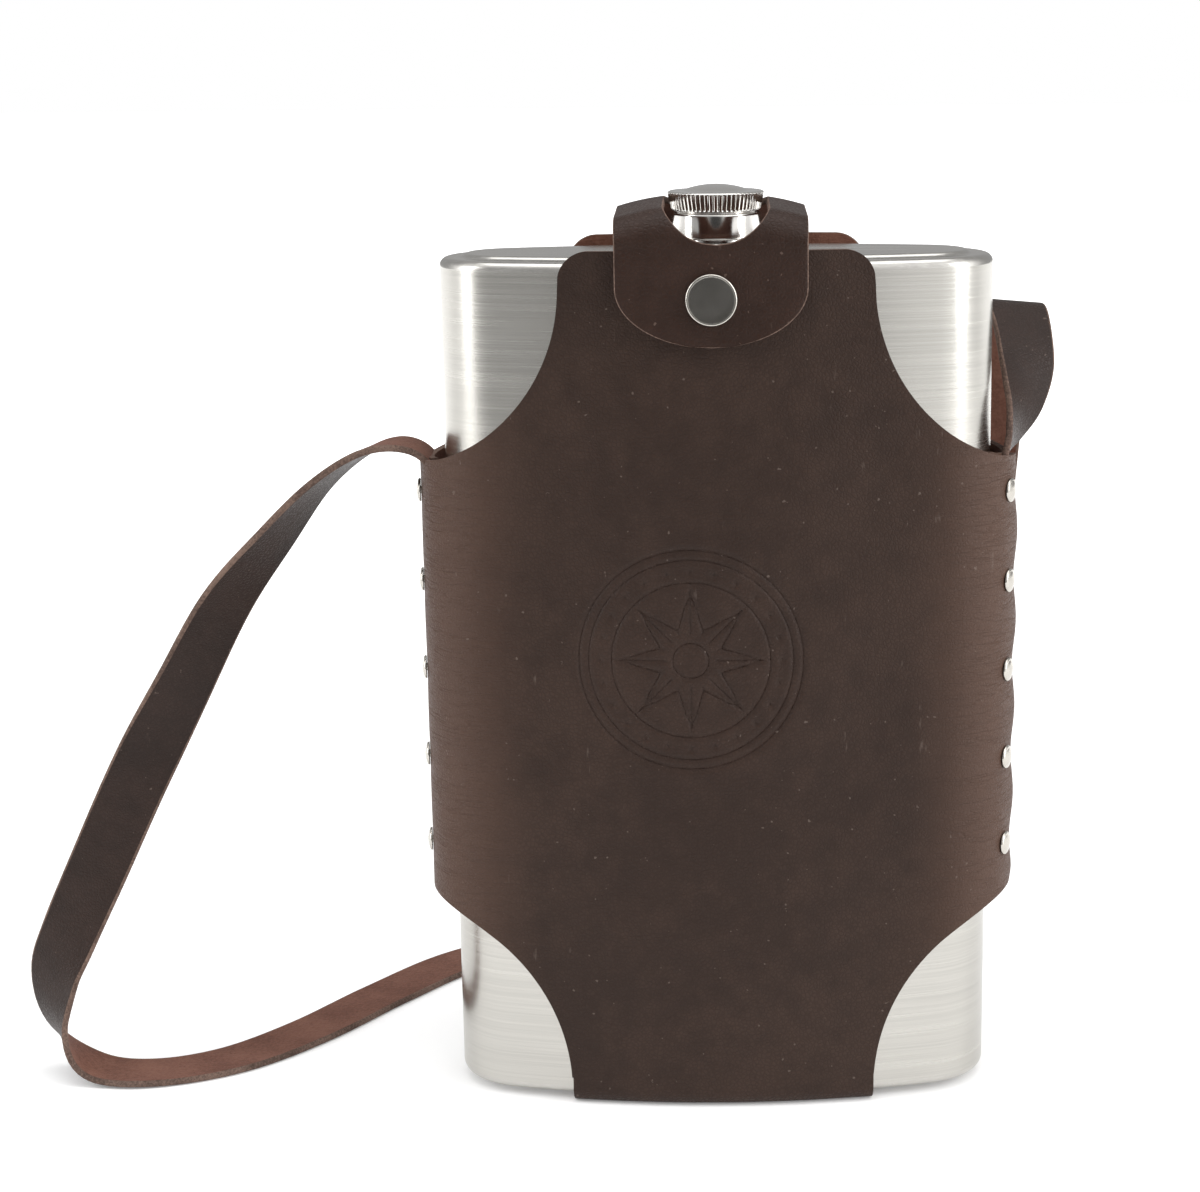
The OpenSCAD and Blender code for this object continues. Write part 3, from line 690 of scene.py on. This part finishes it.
def rosette(x, z):
    """Depth of the pressed rosette: four rings, a band of dots, and an eight-pointed star with its ribs."""
    x, z = x - ROSETTE_AT[0], z - ROSETTE_AT[1]
    r, angle = np.hypot(x, z), np.arctan2(x, z)
    rings = (
        groove(r - ROSETTE_R, 0.75) + groove(r - 28.6, 0.55) + groove(r - 22.2, 0.6) + groove(r - 5, 0.55)
    )
    dot_turn = (angle + np.pi / 24) % (np.pi / 12) - np.pi / 24
    dots = groove(np.hypot(r * np.cos(dot_turn) - 25.4, r * np.sin(dot_turn)), 0.95)
    point_turn = np.abs((angle + np.pi / 8) % (np.pi / 4) - np.pi / 8)
    tip, notch, half = 20.5, 9.0, np.pi / 8
    star = tip * notch * np.sin(half) / (tip * np.sin(point_turn) + notch * np.sin(half - point_turn))
    outline = groove((r - star) * 0.5, 0.6) * (r > 6) * (r < 22)
    ribs = groove(r * np.sin(point_turn), 0.5) * step(r, 6, 8) * step(r, 20, 18)
    sunk = step(r, ROSETTE_R + 0.4, ROSETTE_R - 0.6) * 0.18
    return np.clip(rings + dots + outline + ribs, 0, 1) * 0.66 + sunk


def uneven(x, y, z):
    """A slow unevenness of about a fifth of a millimetre: a few crossing waves."""
    return 0.1 * (
        np.sin(x * 0.071 + z * 0.043 + 1.1) + np.sin(x * 0.13 - z * 0.091 + 2.3 + y * 0.2)
        + np.sin(z * 0.17 + np.sin(x * 0.05) * 2 + 0.4) * 0.6
    )


def make_panel(name, node, r, right_edge, left_edge, front, extra_columns, extra_rows):
    """One side of the holster. The grid's columns stand along the plan, and its rows run between the low and
    the top edge. The rows below 0 are the tab's own: they run round the fold and on under the flask. The surface
    is moved outwards or inwards by the pressed rosette, an unevenness, dents at the rivets and a lift of the
    edge between the rivets."""
    along, where, way = wrap_line(r, right_edge, left_edge, PLAY + LEATHER / 2)
    s = panel_columns(along, where, extra_columns)[:, None]
    rows = np.unique(np.round(np.concatenate([
        np.linspace(-1, 0, 20), np.linspace(0, 1, 64), [0.0012, 0.004, 0.996, 0.9988], extra_rows,
    ]), 5))[None, :]
    side = np.abs(np.interp(s, along, where[:, 0]))
    q = low_edge(side) + np.where(rows < 0, TAB_TAIL, top_edge(side) - low_edge(side)) * rows
    between = np.sin(np.pi * (q - RIVET_Z) / RIVET_PITCH) ** 2
    seam_z = step(q, RIVET_Z - 16, RIVET_Z - 8) * step(q, RIVET_Z + 112, RIVET_Z + 104)
    to_right, to_left = along[-1] - s, s - along[0]
    to_seam = np.minimum(to_right, to_left)
    if front:
        s = s + between * seam_z * 0.8 * (step(to_right, 12, 0) - step(to_left, 12, 0) * 0.6)
    x = np.interp(s, along, where[:, 0])
    y = np.interp(s, along, where[:, 1])
    nx = np.interp(s, along, way[:, 0])
    ny = np.interp(s, along, way[:, 1])
    turn = np.clip((FOLD_TOP - q) / FOLD_R, 0, np.pi / 2)
    under = np.clip(FOLD_TOP - FOLD_R * np.pi / 2 - q, 0, None)
    inward = FOLD_R * (1 - np.cos(turn)) + under
    z = np.where(q < FOLD_TOP, FOLD_TOP - FOLD_R * np.sin(turn), q)
    push = uneven(x, y, z) * step(q, 10, 40) * step(to_seam, 0, 25)
    push = np.where(push > 0, push, push * 0.2)
    if front:
        push = push - rosette(s, z) * step(np.abs(s), 60, 50)
        push = push + between * seam_z * (step(to_right, 9, 0) * 0.9 + step(to_left, 8, 0) * 0.5)
        rivet = np.abs((q - RIVET_Z + RIVET_PITCH / 2) % RIVET_PITCH - RIVET_PITCH / 2)
        for gap in (to_right, to_left):
            seat = gap - SEAM_LAP * np.pi / 180 * (r + 1)
            push = push - groove(np.hypot(rivet, seat), 5.5) * 0.1 * seam_z
    points = np.stack([x + nx * (push - inward), y + ny * (push - inward), z + 0 * x], -1)
    faces = quads(points.shape[0], points.shape[1])[:, ::-1]
    in_tab = (side <= TAB_HALF + 0.01) & (rows < 2)
    above = np.broadcast_to(rows >= 0, in_tab.shape)
    faces = faces[in_tab.ravel()[faces].all(1) | above.ravel()[faces].all(1)]
    if not front:
        points = points * [-1, -1, 1]
    panel = make(name, points, faces, [PANEL_LEATHER, FLESH, CUT], closed=False)
    finish_leather(panel)
    join_frame(panel, ROOT, "brown_leather", node)


def finish_leather(piece, cut_and_painted_highlight=False):
    """Gives a sheet its thickness on both sides of its middle, and rounds its cut edges. When asked, the
    rounding takes the pale cut colour at its full width even where the grid is fine: partly the leather's own
    paler cut, partly a painted highlight where the rim catches the light."""
    solid = piece.modifiers.new("thickness", "SOLIDIFY")
    solid.thickness, solid.offset, solid.use_even_offset = LEATHER * MM, 0.0, True
    solid.material_offset, solid.material_offset_rim = 1, 2
    edge = piece.modifiers.new("edge", "BEVEL")
    edge.width, edge.segments = 0.3 * MM, 2
    edge.limit_method, edge.angle_limit = "ANGLE", np.radians(60)
    # The rounding takes the pale cut colour: partly the leather's own paler cut, partly a painted highlight
    # along the rim.
    if cut_and_painted_highlight:
        edge.material, edge.use_clamp_overlap = 2, False
    settle(piece)
    soften(piece, 50)


make_panel(
    "holster_front", "front_panel", FRONT_WING_R, SEAM_LAP - SEAM_RIGHT, SEAM_LAP - SEAM_LEFT, True,
    np.arange(-41, 25.1, 0.5), np.linspace(0.384, 0.668, 134),
)
make_panel(
    "holster_back", "back_panel", BACK_WING_R, SEAM_LAP + SEAM_LEFT, SEAM_LAP + SEAM_RIGHT, False,
    np.zeros(0), np.zeros(0),
)


def make_base():
    """The strip under the base, between the two folds: a flat grid that follows the faces' arcs."""
    x = np.linspace(-TAB_HALF, TAB_HALF, 40)[:, None]
    y = np.linspace(-1, 1, 24)[None, :] * (np.sqrt(FACE_R**2 - x**2) - FACE_Y - 14.8)
    points = np.stack([x + 0 * y, y, np.full(y.shape, LEATHER / 2)], -1)
    base = make("holster_base", points, quads(40, 24), [PANEL_LEATHER, FLESH, CUT], closed=False)
    finish_leather(base)
    join_frame(base, ROOT, "brown_leather", "base_strip")


make_base()

# ---------- flap ----------

FLAP_HALF, FLAP_SHIFT, FLAP_ROUND, FLAP_END = 26.0, -1.4, 16.0, 221.0
HOLE_R, HOLE_LOW, HOLE_BACK = 14.2, 248.5, 15.6
SIDE_DROP, SIDE_LIFT = 3.4, 0.8
FLAP_LINE = np.array([[29.6, 247.3], [29.6, 249.6], [4, 259], [-35.5, 257.5], [-35.5, FLAP_END]])
FLAP_BENDS = (3, 25, 8)


def bent(line, radii, steps=24):
    """A line with a round bend of the given radius at each inner point."""
    parts = [line[:1]]
    for before, at, after, r in zip(line[:-2], line[1:-1], line[2:], radii):
        u = (before - at) / np.linalg.norm(before - at)
        v = (after - at) / np.linalg.norm(after - at)
        half = np.arccos(u @ v) / 2
        centre = at + (u + v) / np.linalg.norm(u + v) * r / np.sin(half)
        a, b = at + u * r / np.tan(half) - centre, at + v * r / np.tan(half) - centre
        sweep = np.pi - 2 * half
        t = np.linspace(0, 1, steps)[:, None]
        parts.append(centre + (a * np.sin((1 - t) * sweep) + b * np.sin(t * sweep)) / np.sin(sweep))
    return np.concatenate(parts + [line[-1:]])


def make_flap():
    """The flap as two half sheets, left and right, whose rows run from the flap's side to its middle or to
    the side of the neck hole: a slot above, with round ends, the front one cut in the hanging part. The free
    end is half an ellipse. Rows crowd at the hole's ends and at the free end. The sides droop over the top,
    and lift a little from the panel in front."""
    line = bent(FLAP_LINE, FLAP_BENDS)
    along = np.concatenate([[0], np.cumsum(np.linalg.norm(np.diff(line, axis=0), axis=1))])
    total = along[-1]
    a = np.radians(np.linspace(0, 78, 14))
    hole_high = HOLE_BACK - HOLE_R
    back_q = np.interp(-(hole_high + HOLE_R * np.cos(a)), -line[:, 0], along)
    low_q = total - (HOLE_LOW - FLAP_END)
    q = np.unique(np.round(np.concatenate([
        np.linspace(0, total, 66), back_q, low_q - HOLE_R * (1 - np.sin(a)),
        total - FLAP_ROUND * (1 - np.sin(a)), [low_q, total],
    ]), 3))
    q = q[np.concatenate([[True], np.diff(q) > 0.2])]
    q[-1] = total
    y, z = np.interp(q, along, line[:, 0]), np.interp(q, along, line[:, 1])
    past = np.clip(FLAP_ROUND - (total - q), 0, FLAP_ROUND) / FLAP_ROUND
    outer = FLAP_HALF * np.sqrt(np.clip(1 - past**2, 0, None))
    behind = np.clip(y - hole_high, 0, None) * (q < total / 2)
    below = np.clip(q - (low_q - HOLE_R), 0, None)
    hair = 0.01
    in_hole = (behind < HOLE_R - hair) & (below < HOLE_R - hair) & (q > back_q.min() - hair)
    inner = np.where(in_hole, np.sqrt(np.clip(HOLE_R**2 - (behind + below) ** 2, 0, None)), 0)
    u = np.linspace(0, 1, 17)[None, :]
    halves = []
    for left in (True, False):
        side = FLAP_SHIFT + (-outer if left else outer)
        hole = (-inner if left else inner) + FLAP_SHIFT * past * (inner == 0)
        x = side[:, None] + (hole - side)[:, None] * u
        reach = np.abs(x - FLAP_SHIFT) / FLAP_HALF
        top = step(z, 246, 255)[:, None]
        drop = SIDE_DROP * reach**2.4 * top * step(q, 2, 12)[:, None]
        hangs = step(z, 256, 246)[:, None] * step(z, FLAP_END, FLAP_END + 12)[:, None]
        bulge = SIDE_LIFT * reach**2 * hangs
        halves.append(np.stack([x, y[:, None] + bulge * (y[:, None] < 0), z[:, None] - drop], -1))
    rows, columns = halves[0].shape[:2]
    faces = np.concatenate([quads(rows, columns)[:, ::-1], quads(rows, columns) + rows * columns])
    flap = make("holster_flap", np.concatenate(halves), faces, [FLAP_LEATHER, FLESH, CUT], closed=False)
    # The flap's rim is rounded in the pale cut colour: a painted highlight along its edge, partly its own paler
    # cut.
    finish_leather(flap, True)
    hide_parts("closure_flap")
    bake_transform(flap)


make_flap()

# ---------- snap and rivets ----------

SNAP_X, SNAP_Z = FLAP_SHIFT, 234.0
FLAP_OUT_Y, PANEL_OUT_Y = 36.5, HALF_D + PLAY + LEATHER
RIVET_CAP_R, RIVET_CAP_H, RIVET_POST_R = 3.4, 1.4, 1.1


def set_on(points, origin, out_way):
    """Stands turned points so that their axis runs from origin along a level direction."""
    out_way = np.array([*out_way, 0.0])
    across = np.array([-out_way[1], out_way[0], 0.0])
    return (
        np.asarray(origin) + points[..., :1] * across + points[..., 1:2] * np.array([0, 0, 1.0])
        + points[..., 2:] * out_way
    )


def make_fitting(name, profile, places, body, slot, nodes, columns=48):
    """One turned shape, set at each place: its origin and the level direction that its axis takes."""
    base = turned(np.asarray(profile, float), columns)
    faces = quads(len(profile), columns, True)
    count = base.shape[0] * base.shape[1]
    points = np.concatenate([set_on(base, *place).reshape(-1, 3) for place in places])
    faces = np.concatenate([faces + i * count for i in range(len(places))])
    piece = make(name, points, faces, [NICKEL])
    soften(piece, 32)
    join_frame(piece, body, slot, *nodes)


def crown(r, base, height, post, root):
    """Profile of a domed cap: rolled edge, low dome and a post behind it."""
    t = np.linspace(0, 1, 9)[:, None]
    a = t * np.pi / 2
    roll = min(0.6, height * 0.45)
    edge = np.concatenate([r - roll + roll * np.cos(a), base + 0.2 + roll * np.sin(a)], 1)
    x = (1 - t[1:]) * (r - roll)
    dome = np.concatenate([x, base + 0.2 + roll + (height - 0.2 - roll) * (1 - (x / (r - roll)) ** 2)], 1)
    foot = [[0, root], [post, root], [post, base], [r - 0.2, base], [r, base + 0.2]]
    return np.concatenate([foot, edge[1:], dome])


def make_fittings():
    """Snap cap, snap socket and stud on one line, and five domed rivet caps in each seam."""
    on_snap = [((SNAP_X, 0, SNAP_Z), (0.0, -1.0))]
    o = FLAP_OUT_Y
    button = [
        [0, o - 2.5], [1.6, o - 2.5], [1.6, o], [6.8, o], [7, o + 0.2], [7, o + 0.95], [6.92, o + 1.2],
        [6.72, o + 1.38], [6.5, o + 1.42], [6.3, o + 1.36], [6.1, o + 1.34], [4, o + 1.43], [2, o + 1.485],
        [0, o + 1.5],
    ]
    make_fitting("snap_button", button, on_snap, FLAP, "nickel", ["snap_cap"], 96)
    o = FLAP_OUT_Y - 2
    socket = rounded([
        [1.65, o], [5.5, o], [5.5, o - 1.2], [4.6, o - 1.9], [2.4, o - 1.9], [2.4, o - 0.8], [1.65, o - 0.8],
        [1.65, o],
    ], 0.3)
    make_fitting("snap_spring_socket", socket, on_snap, FLAP, "nickel", ["snap_socket"], 64)
    o = PANEL_OUT_Y
    stud = rounded([
        [0, o], [4.5, o], [4.5, o + 0.5], [2.3, o + 0.6], [1.9, o + 1.0], [2.1, o + 1.4], [1.6, o + 1.7],
        [0, o + 1.7],
    ], 0.25)
    make_fitting("snap_ball_stud", stud, on_snap, ROOT, "nickel", ["snap_stud"], 64)
    surface = FRONT_WING_R + PLAY + LEATHER + 0.05
    profile = crown(RIVET_CAP_R, surface, RIVET_CAP_H, RIVET_POST_R, BACK_WING_R + 0.1)
    for name, side, forward, node in [
        ("rivets_right", 1, SEAM_RIGHT, "right_rivet_caps"),
        ("rivets_left", -1, SEAM_LEFT, "left_rivet_caps"),
    ]:
        a = np.radians(-forward if side > 0 else 180 + forward)
        way = (float(np.cos(a)), float(np.sin(a)))
        places = [((side * WING_X, 0, RIVET_Z + i * RIVET_PITCH), way) for i in range(RIVETS)]
        make_fitting(name, profile, places, ROOT, "nickel", [node])


make_fittings()

# The CAD nodes that stay get their own finishes.
for node, finish in [
    ("cap_insert", SPOUT_STEEL), ("cap_gasket", RUBBER), ("snap_post", NICKEL),
    ("right_rivet_backs", NICKEL), ("left_rivet_backs", NICKEL),
]:
    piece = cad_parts[node]
    piece.data.materials.clear()
    piece.data.materials.append(finish)

# ---------- studio ----------

# The surround's brightness is a product of three levels. Each has a direction, then the two cosines from it
# that the level changes between, and the level at each.
DIM_FRONT = ((-0.5, -0.87, 0), 0.35, 0.85, 1.3, 0.48)
DIM_BACK = ((0, 1, 0), 0.0, 0.5, 1.0, 0.32)
DARK_MIDDLE = ((0, -0.995, -0.1), 0.925, 0.985, 1.0, 0.12)


def add_floor():
    """A pale floor, wide and deep, that ends in front of the object and glows more in the distance."""
    f = Finish("floor", Roughness=0.9, Specular_IOR_Level=0.1, Emission_Strength=1.0)
    far = axis(f, "Y").between(0.25, 1.2)
    f.feed("Emission Color", f.mix(far, (0.14, 0.14, 0.14), (0.8, 0.8, 0.8)))
    f.feed("Base Color", f.mix(f.noise(f.place(), 3.0), (0.93, 0.93, 0.93), (0.95, 0.95, 0.95)))
    mesh = bpy.data.meshes.new("floor")
    front, reach = -0.6, 8
    corners = [(-reach, front, 0), (reach, front, 0), (reach, reach, 0), (-reach, reach, 0)]
    mesh.from_pydata(corners, [], [(0, 1, 2, 3)])
    mesh.materials.append(f.material)
    floor = bpy.data.objects.new("floor", mesh)
    bpy.context.scene.collection.objects.link(floor)


def add_light(name, at, aim, size, power):
    """A soft rectangular light that faces a point."""
    light = bpy.data.lights.new(name, "AREA")
    light.shape, light.size, light.size_y, light.energy = "RECTANGLE", size[0], size[1], power
    lamp = bpy.data.objects.new(name, light)
    back = np.array(at, float) - aim
    back /= np.linalg.norm(back)
    right = np.cross([0, 0, 1.0], back)
    right /= np.linalg.norm(right)
    turned_way = np.eye(4)
    turned_way[:3, 0], turned_way[:3, 1], turned_way[:3, 2] = right, np.cross(back, right), back
    turned_way[:3, 3] = at
    lamp.matrix_world = Matrix(turned_way.tolist())
    bpy.context.scene.collection.objects.link(lamp)


def add_studio():
    """A white surround that is dim behind and in front of the object, and darkest where the camera stands,
    and three soft lights. The camera itself sees plain white beyond the floor."""
    world = bpy.data.worlds.new("surround")
    world.use_nodes = True
    tree = world.node_tree
    shade = tree.nodes["Background"]
    way = tree.nodes.new("ShaderNodeTexCoord")
    product = None
    for aim, low, high, start, end in (DIM_FRONT, DIM_BACK, DARK_MIDDLE):
        towards = tree.nodes.new("ShaderNodeVectorMath")
        towards.operation = "DOT_PRODUCT"
        towards.inputs[1].default_value = aim
        tree.links.new(way.outputs["Generated"], towards.inputs[0])
        ramp = tree.nodes.new("ShaderNodeMapRange")
        ramp.interpolation_type = "SMOOTHSTEP"
        for socket, value in (("From Min", low), ("From Max", high), ("To Min", start), ("To Max", end)):
            ramp.inputs[socket].default_value = value
        tree.links.new(towards.outputs["Value"], ramp.inputs["Value"])
        times = tree.nodes.new("ShaderNodeMath")
        times.operation = "MULTIPLY"
        times.inputs[1].default_value = 1.0
        tree.links.new(ramp.outputs["Result"], times.inputs[0])
        if product is not None:
            tree.links.new(product, times.inputs[1])
        product = times.outputs["Value"]
    seen = tree.nodes.new("ShaderNodeLightPath")
    level = tree.nodes.new("ShaderNodeMath")
    level.operation = "MAXIMUM"
    tree.links.new(product, level.inputs[0])
    tree.links.new(seen.outputs["Is Camera Ray"], level.inputs[1])
    tree.links.new(level.outputs["Value"], shade.inputs["Strength"])
    shade.inputs["Color"].default_value = (1, 1, 1, 1)
    bpy.context.scene.world = world
    bpy.context.scene.view_settings.view_transform = "Standard"
    middle = np.array([0, 0, 0.13])
    add_light("left_box", (-1.3, -0.35, 0.6), middle, (0.4, 1.1), 8)
    add_light("right_box", (1.2, -0.46, 0.6), middle, (0.42, 1.1), 8)
    add_light("top_box", (0, 0.1, 1.7), middle, (1.4, 1.0), 7.5)


add_floor()
add_studio()
